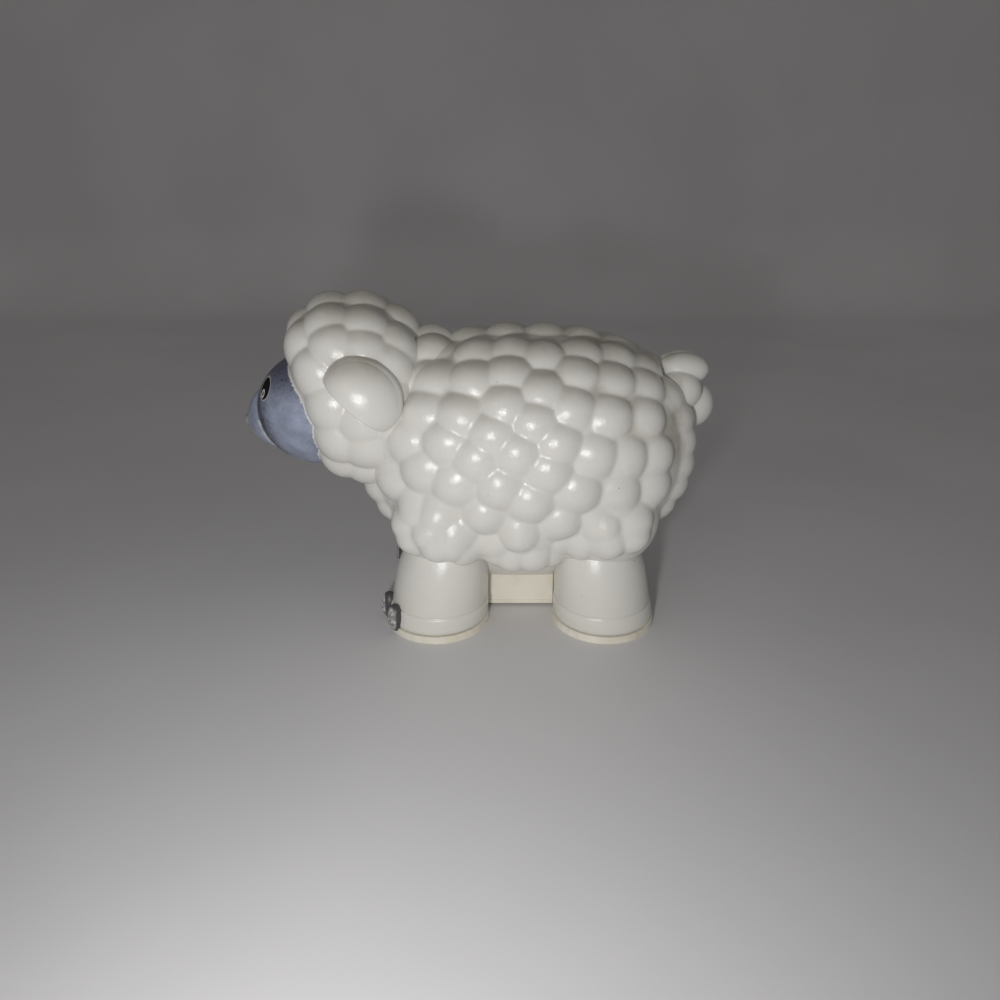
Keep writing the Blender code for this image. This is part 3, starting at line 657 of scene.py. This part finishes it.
def face_look(colours):
    """Lavender-grey paint over white vinyl: bare at the fleece, worn at the muzzle, with eyes and nose, and
    painted shade at the brow, beside the muzzle and in the mouth crease.
    """
    look, tree, shader = new_look("face_paint", 0.40, 0.05)
    shader.inputs["Specular IOR Level"].default_value = 0.22
    cloud = step(tree, noise(tree, 220.0, 5.0, 0.65), 0.35, 0.68)
    # Painted shade: the face darker towards its top
    brow_shade = step(tree, height_above_floor(tree), 0.0352, 0.0410, 0.0, 1.0)
    paint = blend(tree, combine(tree, 'MAXIMUM', product(tree, cloud, 0.45), brow_shade),
                  tuple(colours.face), tuple(colours.face_dark))
    # Painted shade on the cheek beside the muzzle, darkest at the crease
    shade = product(tree, field(tree, "shade"),
                    step(tree, noise(tree, 700.0, 5.0, 0.7), 0.40, 0.62, 0.45, 1.0))
    paint = blend(tree, shade, paint, tuple(colours.face_dark))
    deep = product(tree, combine(tree, 'POWER', field(tree, "shade"), 5.0),
                   step(tree, noise(tree, 900.0, 5.0, 0.7), 0.36, 0.60, 0.35, 0.85))
    paint = blend(tree, deep, paint, shaded(colours.face_dark, 0.35))
    # Darker speckles, most of them in the painted shade
    mottle = step(tree, noise(tree, 2000.0, 4.0, 0.75), 0.51, 0.62, 0.0, 0.85)
    dark_parts = combine(tree, 'MAXIMUM', combine(tree, 'MAXIMUM', field(tree, "shade"), brow_shade), 0.12)
    paint = blend(tree, product(tree, mottle, dark_parts), paint, shaded(colours.face_dark, 0.45))
    fleck = combine(tree, 'ADD', field(tree, "fleece_gap"), product(tree, noise(tree, 2200.0, 4.0), 0.0006))
    bare = step(tree, fleck, 0.00034, 0.00062, 1.0, 0.0)
    wear = combine(tree, 'ADD', field(tree, "muzzle"), product(tree, noise(tree, 2400.0, 5.0, 0.7), 1.9))
    lip = product(tree, field(tree, "lip"), step(tree, noise(tree, 1500.0, 3.0), 0.36, 0.52, 0.2, 0.85))
    pale_patches = combine(tree, 'MAXIMUM', step(tree, wear, 2.00, 2.25, 0.0, 0.6), lip)
    base = blend(tree, combine(tree, 'MAXIMUM', bare, pale_patches), paint, tuple(colours.vinyl))
    base = blend(tree, step(tree, field(tree, "nose"), 0.9, 1.1, 0.9, 0.0), base, tuple(colours.nose))
    # Painted shade in the mouth crease
    mouth = step(tree, field(tree, "mouth"), 0.35, 0.85, 0.0, 0.9)
    base = blend(tree, mouth, base, shaded(colours.face_dark, 0.3))
    ring = product(tree, step(tree, field(tree, "eye"), 1.02, 1.06),
                   step(tree, field(tree, "eye"), 1.12, 1.20, 0.6, 0.0))
    base = blend(tree, ring, base, tuple(colours.vinyl))
    eye = step(tree, field(tree, "eye"), 0.98, 1.03, 1.0, 0.0)
    base = blend(tree, eye, base, EYE_PAINT)
    glint = product(tree, step(tree, field(tree, "glint"), 0.30, 0.70, 0.12, 1.0),
                    step(tree, field(tree, "glint"), 0.90, 1.15, 0.8, 0.0))
    base = blend(tree, glint, base, GLINT_PAINT)
    link(tree, base, shader.inputs["Base Color"])
    rough = step(tree, noise(tree, 500.0, 4.0), 0.30, 0.70, 0.34, 0.48)
    dull = combine(tree, 'ADD', 1.0, product(tree, eye, 1.1))
    link(tree, product(tree, rough, dull), shader.inputs["Roughness"])
    grain(tree, shader, noise(tree, 3200.0, 4.0, 0.7), 0.25, 0.00005)
    return look


def toe_look(colours):
    """Grey toe paint, darker round its edge and lighter in patches in the middle."""
    look, tree, shader = new_look("toe_paint", 0.40)
    rim = step(tree, field(tree, "rim"), 0.42, 0.66)
    base = blend(tree, rim, tuple(colours.toe), shaded(colours.toe, 0.32))
    pale_patches = combine(tree, 'SUBTRACT', noise(tree, 1500.0, 5.0, 0.7), product(tree, rim, 0.35))
    base = blend(tree, step(tree, pale_patches, 0.44, 0.58, 0.0, 0.75), base, tuple(colours.vinyl))
    link(tree, base, shader.inputs["Base Color"])
    grain(tree, shader, noise(tree, 3000.0, 3.0), 0.2, 0.00004)
    return look


def hard_plastic_look(name, colour):
    """Satin hard plastic, yellowed unevenly and rubbed, with fine grain."""
    look, tree, shader = new_look(name, 0.36)
    pale = tuple(min(1.0, 1.05 * value) for value in colour[:3]) + (1.0,)
    deep = tuple(share * value for share, value in zip((0.94, 0.92, 0.87), colour)) + (1.0,)
    cloud = step(tree, noise(tree, 180.0, 5.0), 0.35, 0.65)
    base = blend(tree, cloud, deep, pale)
    speck = step(tree, noise(tree, 1300.0, 2.0), 0.74, 0.78, 0.0, 0.5)
    base = blend(tree, speck, base, shaded(colour, 0.4))
    link(tree, base, shader.inputs["Base Color"])
    link(tree, step(tree, noise(tree, 400.0, 4.0), 0.30, 0.70, 0.30, 0.44), shader.inputs["Roughness"])
    grain(tree, shader, noise(tree, 2200.0, 3.0), 0.15, 0.00005)
    return look


def shared_look(name, make):
    """A material by name, made on first use."""
    return bpy.data.materials.get(name) or make()


def vinyl(colours):
    """The one vinyl finish that the shell, the ears and the tail share."""
    return shared_look("glossy_vinyl", lambda: vinyl_look("glossy_vinyl", colours))


class SHEEP_OT_fleece(bpy.types.Operator):
    """Build the fleece torso and the fleece cap of the head"""
    bl_idname = "sheep.fleece"
    bl_label = "Fleece"

    def execute(self, context):
        sizes, colours = context.scene.sheep_sizes, context.scene.sheep_colours
        look = vinyl(colours)
        bump, curl = (sizes.bump_rise, sizes.bump_reach), (sizes.curl_rise, sizes.curl_reach)
        forms = (
            ("torso_fleece", sizes.torso_centre, torso_radius, torso_bumps(sizes), bump, 230, 420),
            ("neck_fleece", sizes.neck_centre, neck_radius, torso_bumps(sizes), bump, 160, 300),
            ("head_fleece", sizes.head_centre, head_radius, head_bumps(sizes), curl, 200, 380),
        )
        for name, centre, radius, centres, cap, rings, sides in forms:
            directions = ball_directions(rings, sides)
            # crease holds the dust and painted shade between the bumps
            corners, crease = fleece(sizes, np.array(centre), radius, centres, cap, directions)
            piece(name, corners, ball_faces(rings, sides), look, (SHELL,),
                  {"crease": crease, "dust_and_shade": np.ones(len(corners))})
        return {'FINISHED'}


class SHEEP_OT_face(bpy.types.Operator):
    """Build the smooth painted face with its muzzle and nose"""
    bl_idname = "sheep.face"
    bl_label = "Face"

    def execute(self, context):
        sizes, colours = context.scene.sheep_sizes, context.scene.sheep_colours
        start = np.array(sizes.face_centre)
        rings, sides = 240, 320
        directions = ball_directions(rings, sides)
        ovals = ((sizes.face_centre, sizes.face_halves), (sizes.muzzle_centre, sizes.muzzle_halves),
                 (sizes.nose_centre, sizes.nose_halves))
        reach = [far_radius(directions, start, np.array(centre), np.array(halves))
                 for centre, halves in ovals]
        cheek, muzzle = reach[0], reach[1]
        step_out = np.abs(cheek - muzzle)
        fade = np.clip((MOUTH_FADE_TOP - directions[:, 2]) / MOUTH_FADE_SPREAD, 0.0, 1.0)
        crease = np.exp(-(step_out / MOUTH_CREASE) ** 2) * fade
        corners = start + directions * (soft_max(reach, FACE_ROUNDING) - MOUTH_CREASE * crease)[:, None]
        shade = np.clip(CHEEK_SHADE_START - step_out / CHEEK_SHADE_WIDTH, 0.0, 1.0)
        lip = np.clip(1.0 - np.abs(step_out / LIP_WIDTH - 1.0), 0.0, 1.0)
        glint_centre = (sizes.eye_centre[0] + GLINT_OFFSET[0], 0.0, sizes.eye_centre[2] + GLINT_OFFSET[1])
        fields = {
            "fleece_gap": self.fleece_gap(sizes, corners),
            "shade": shade * (cheek > muzzle) * (directions[:, 0] < 0.0),
            "lip": lip * (cheek < muzzle) * (directions[:, 2] < LIP_TOP),
            "muzzle": WORN_START - np.linalg.norm((corners - WORN_CENTRE) / WORN_HALVES, axis=1),
            "nose": np.linalg.norm((corners - np.array(sizes.nose_centre)) / NOSE_PAINT_HALVES, axis=1),
            "mouth": crease,
            "eye": self.oval_share(corners, sizes.eye_centre, sizes.eye_halves),
            "glint": self.oval_share(corners, glint_centre, GLINT_HALVES),
        }
        piece("face", corners, ball_faces(rings, sides), face_look(colours), (SHELL,), fields)
        return {'FINISHED'}

    @staticmethod
    def oval_share(corners, centre, halves):
        """Distance from a leaning oval's centre seen from the side, as a share of its half sizes."""
        turn = math.radians(EYE_LEAN)
        along, up = corners[:, 0] - centre[0], corners[:, 2] - centre[2]
        wide = (along * math.cos(turn) - up * math.sin(turn)) / halves[0]
        tall = (along * math.sin(turn) + up * math.cos(turn)) / halves[1]
        return np.sqrt(wide ** 2 + tall ** 2)

    @staticmethod
    def fleece_gap(sizes, corners):
        """How far each corner lies outside the head's fleece."""
        centre = np.array(sizes.head_centre)
        offset = corners - centre
        length = np.linalg.norm(offset, axis=1)
        directions = offset / length[:, None]
        cap = (sizes.curl_rise, sizes.curl_reach)
        wall = fleece(sizes, centre, head_radius, head_bumps(sizes), cap, directions)[0]
        return length - np.linalg.norm(wall - centre, axis=1)


class SHEEP_OT_belly(bpy.types.Operator):
    """Build the smooth underside between the legs"""
    bl_idname = "sheep.belly"
    bl_label = "Smooth belly"

    def execute(self, context):
        sizes, colours = context.scene.sheep_sizes, context.scene.sheep_colours
        rings, sides = 60, 120
        directions = ball_directions(rings, sides)
        radius = own_radius(directions, np.array(sizes.saddle_halves), BELLY_POWER)[:, None]
        corners = np.array(sizes.saddle_centre) + directions * radius
        piece("belly", corners, ball_faces(rings, sides), vinyl(colours), (SHELL,),
              {"crease": np.zeros(len(corners))})
        return {'FINISHED'}


class SHEEP_OT_legs(bpy.types.Operator):
    """Build the four turned legs, with two toes on each front foot"""
    bl_idname = "sheep.legs"
    bl_label = "Legs and toes"

    def execute(self, context):
        sizes, colours = context.scene.sheep_sizes, context.scene.sheep_colours
        look = vinyl(colours)
        profile = self.profile(sizes.foot_radius, sizes.cuff_up)
        for end, along, lean in (("front", sizes.leg_front, sizes.front_lean),
                                 ("rear", sizes.leg_rear, sizes.rear_lean)):
            for side, across in (("left", -sizes.leg_across), ("right", sizes.leg_across)):
                corners, faces = turned(profile, 128)
                corners = corners + (along, across, 0.0)
                corners[:, 0] += lean * np.maximum(corners[:, 2] - LEG_LEAN_START, 0.0)
                piece(f"leg_{end}_{side}", corners, faces, look, (SHELL,),
                      {"crease": np.zeros(len(corners))})
                if end == "front":
                    self.toes(sizes, colours, side, along, across)
        return {'FINISHED'}

    @staticmethod
    def profile(foot, cuff):
        """Radius and height down a leg: its hidden top, its flare, the groove above the cuff and the foot."""
        return np.array((
            (0.0, 0.0175), (0.0046, 0.0175), (0.0052, 0.0160), (0.0057, 0.0148), (0.0062, 0.0136),
            (0.00665, 0.0124), (0.0070, 0.0113), (0.00725, 0.0102), (0.00742, 0.0090), (0.00755, 0.0078),
            (0.0078, cuff + 0.0003), (0.0078, cuff + 0.0001), (0.0077, cuff), (0.0079, cuff - 0.00012),
            (0.0080, cuff - 0.0004), (foot - 0.00005, 0.0020), (foot - 0.0001, 0.0015),
            (foot - 0.0003, LEG_FOOT_UP), (0.0, LEG_FOOT_UP)))

    @staticmethod
    def toes(sizes, colours, side, along, across):
        """Two rounded toes, set out from the foot's front, with how far each corner is from the toe's tip."""
        look = shared_look("toe_paint", lambda: toe_look(colours))
        rings, sides = 28, 40
        directions = ball_directions(rings, sides)
        for number, outwards in enumerate(TOE_TURNS):
            turn = math.radians(math.copysign(outwards, across))
            out = np.array((-math.cos(turn), math.sin(turn), 0.0))
            centre = np.array((along, across, TOE_UP)) + out * (sizes.foot_radius - TOE_SET_BACK)
            corners = centre + directions * TOE_HALVES
            rim = 1.0 - np.clip((directions * out).sum(axis=1), 0.0, 1.0)
            piece(f"toe_{side}_{number + 1}", corners, ball_faces(rings, sides), look,
                  (SHELL,), {"rim": rim})


def turned(profile, sides):
    """A profile spun about the vertical, from its top on the axis to its bottom on the axis."""
    rows = profile[1:-1]
    turn = np.linspace(0.0, math.tau, sides, endpoint=False)
    around = np.stack((np.cos(turn), np.sin(turn)), axis=-1)
    heights = np.broadcast_to(rows[:, None, 1:], (len(rows), sides, 1))
    ring = np.concatenate((rows[:, None, :1] * around, heights), axis=-1)
    corners = np.vstack(((0.0, 0.0, profile[0, 1]), ring.reshape(-1, 3), (0.0, 0.0, profile[-1, 1])))
    return corners, ball_faces(len(rows) + 1, sides)


class SHEEP_OT_ears(bpy.types.Operator):
    """Build the two ears: a dome cut along its lower front edge and thinned away from it"""
    bl_idname = "sheep.ears"
    bl_label = "Ears"

    def execute(self, context):
        sizes, colours = context.scene.sheep_sizes, context.scene.sheep_colours
        rings, sides = 140, 200
        directions = ball_directions(rings, sides)
        flat_way, high_way = math.cos(sizes.ear_lean), math.sin(sizes.ear_lean)
        turn = np.array(((flat_way, 0.0, -high_way), (0.0, 1.0, 0.0), (high_way, 0.0, flat_way)))
        scaled = directions / np.array(sizes.ear_halves)
        dome = (np.hypot(scaled[:, 0], scaled[:, 2]) ** sizes.ear_power
                + np.abs(scaled[:, 1]) ** sizes.ear_power) ** (-1.0 / sizes.ear_power)
        flat = sizes.ear_cut / np.maximum(-directions[:, 2], 0.0001)
        place = directions * -soft_max((-dome, -flat), EAR_ROUNDING)[:, None]
        outer = np.clip(-place[:, 1] / sizes.ear_cut, 0.0, 1.0)
        place[:, 1] += EAR_THINNING_SHARE * (place[:, 2] + sizes.ear_cut) * outer
        corners = np.array(sizes.ear_centre) + place @ turn
        faces = ball_faces(rings, sides)
        fields = {"crease": np.zeros(len(corners)), "dust_and_shade": np.full(len(corners), EAR_DUST_AND_SHADE)}
        piece("ear_left_pad", corners, faces, vinyl(colours), ("ear_left",), fields)
        corners, faces = mirrored(corners, faces)
        piece("ear_right_pad", corners, faces, vinyl(colours), ("ear_right",), fields)
        return {'FINISHED'}


class SHEEP_OT_tail(bpy.types.Operator):
    """Build the tail from soft lobes round one centre"""
    bl_idname = "sheep.tail"
    bl_label = "Tail"

    def execute(self, context):
        sizes, colours = context.scene.sheep_sizes, context.scene.sheep_colours
        rings, sides = 120, 160
        directions = ball_directions(rings, sides)
        centre, reach = np.array(sizes.tail_centre), sizes.tail_reach
        walls = []
        for lobe in TAIL_LOBE_SHARES:
            place, halves = np.array(lobe[:3]) * reach, np.array(lobe[3:]) * reach
            for side in (-1.0, 1.0):
                walls.append(far_radius(directions, centre, centre + place * (1.0, side, 1.0), halves))
        radius = soft_max(walls, TAIL_ROUNDING)
        corners = centre + directions * radius[:, None]
        # Dust and painted shade at the root, where the tail meets the rump
        root = np.clip(1.0 - (corners[:, 0] - TAIL_ROOT_ALONG) / TAIL_ROOT_REACH, 0.0, 1.0)
        piece("tail_lobes", corners, ball_faces(rings, sides), vinyl(colours), ("tail",),
              {"crease": root, "dust_and_shade": np.full(len(corners), TAIL_DUST_AND_SHADE)})
        return {'FINISHED'}


class SHEEP_OT_plastic(bpy.types.Operator):
    """Give the belly block and the four soles their yellowed hard plastic"""
    bl_idname = "sheep.plastic"
    bl_label = "Block and soles"

    def execute(self, context):
        colours = context.scene.sheep_colours
        block = hard_plastic_look("block_plastic", tuple(colours.block))
        sole = hard_plastic_look("rubbed_sole", tuple(colours.sole))
        for node, look in (("belly_plug", block),) + tuple((plug, sole) for plug in FOOT_PLUGS):
            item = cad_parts[node]
            item.data.materials.clear()
            item.data.materials.append(look)
        return {'FINISHED'}


class SHEEP_OT_stage(bpy.types.Operator):
    """Set the pale floor, the soft lights and the camera"""
    bl_idname = "sheep.stage"
    bl_label = "Stage"

    def execute(self, context):
        colours = context.scene.sheep_colours
        self.floor(colours)
        self.lights()
        self.camera(context)
        return {'FINISHED'}

    @staticmethod
    def floor(colours):
        """A sheet that runs back flat and then curves up behind: quarter-round between floor and wall."""
        bend, back, rise, half = 0.05, 0.30, 1.2, 2.0
        turn = np.linspace(0.0, math.pi / 2.0, 25)
        curve = np.stack((back + bend * np.sin(turn), bend * (1.0 - np.cos(turn))), axis=-1)
        profile = np.vstack(((-half, 0.0), curve, (back + bend, rise)))
        corners = np.array([(x, y, z) for x in (-half, half) for y, z in profile])
        count = len(profile)
        faces = [(n, count + n, count + n + 1, n + 1) for n in range(count - 1)]
        mesh = bpy.data.meshes.new("floor")
        mesh.from_pydata(corners, [], faces)
        mesh.shade_smooth()
        sheet = bpy.data.objects.new("floor", mesh)
        bpy.context.scene.collection.objects.link(sheet)
        look, tree, shader = new_look("pale_floor", 0.55)
        cloud = step(tree, noise(tree, 12.0, 4.0), 0.35, 0.65)
        base = blend(tree, cloud, tuple(colours.floor), shaded(colours.floor, 0.94))
        link(tree, base, shader.inputs["Base Color"])
        mesh.materials.append(look)

    @staticmethod
    def lights():
        """A key beside the camera, a broad fill, a lamp behind and an even world light."""
        for name, place, size, power in LAMPS:
            data = bpy.data.lights.new(name, 'AREA')
            data.shape = 'DISK'
            data.size = size
            data.energy = power
            lamp = bpy.data.objects.new(name, data)
            lamp.location = place
            lamp.rotation_euler = (Vector(LAMP_TARGET) - Vector(place)).to_track_quat('-Z', 'Y').to_euler()
            lamp.visible_camera = False
            bpy.context.scene.collection.objects.link(lamp)
        world = bpy.data.worlds.new("studio")
        world.use_nodes = True
        sky = world.node_tree.nodes["Background"]
        sky.inputs["Color"].default_value = WORLD_COLOUR
        sky.inputs["Strength"].default_value = WORLD_STRENGTH
        bpy.context.scene.world = world

    @staticmethod
    def camera(context):
        """The photograph's view, looking along +Y and down."""
        data = bpy.data.cameras.new("camera")
        data.sensor_width = 36.0
        data.lens = CAMERA_LENS
        data.clip_start = 0.005
        eye = bpy.data.objects.new("camera", data)
        eye.location = CAMERA_PLACE
        eye.rotation_euler = (math.radians(90.0 - CAMERA_PITCH), 0.0, 0.0)
        context.scene.collection.objects.link(eye)
        context.scene.camera = eye
        context.scene.view_settings.view_transform = 'Standard'


STEPS = (SHEEP_OT_fleece, SHEEP_OT_face, SHEEP_OT_belly, SHEEP_OT_legs, SHEEP_OT_ears, SHEEP_OT_tail,
         SHEEP_OT_plastic, SHEEP_OT_stage)


class SHEEP_PT_panel(bpy.types.Panel):
    """The sheep's steps, in the order in which they run"""
    bl_idname = "SHEEP_PT_panel"
    bl_label = "Toy sheep"
    bl_space_type = 'VIEW_3D'
    bl_region_type = 'UI'
    bl_category = "Sheep"

    def draw(self, context):
        for operator in STEPS:
            self.layout.operator(operator.bl_idname)


CLASSES = (SheepSizes, SheepColours) + STEPS + (SHEEP_PT_panel,)


def register():
    """Register the classes and hang the sizes and colours on the scene."""
    for item in CLASSES:
        bpy.utils.register_class(item)
    bpy.types.Scene.sheep_sizes = PointerProperty(type=SheepSizes)
    bpy.types.Scene.sheep_colours = PointerProperty(type=SheepColours)


def unregister():
    """Take the sizes, the colours and the classes away again."""
    del bpy.types.Scene.sheep_colours
    del bpy.types.Scene.sheep_sizes
    for item in reversed(CLASSES):
        bpy.utils.unregister_class(item)


def main():
    """Build every piece in order."""
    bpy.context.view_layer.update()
    register()
    bpy.ops.sheep.fleece()
    bpy.ops.sheep.face()
    bpy.ops.sheep.belly()
    bpy.ops.sheep.legs()
    bpy.ops.sheep.ears()
    bpy.ops.sheep.tail()
    bpy.ops.sheep.plastic()
    bpy.ops.sheep.stage()


if __name__ == "__main__":
    main()
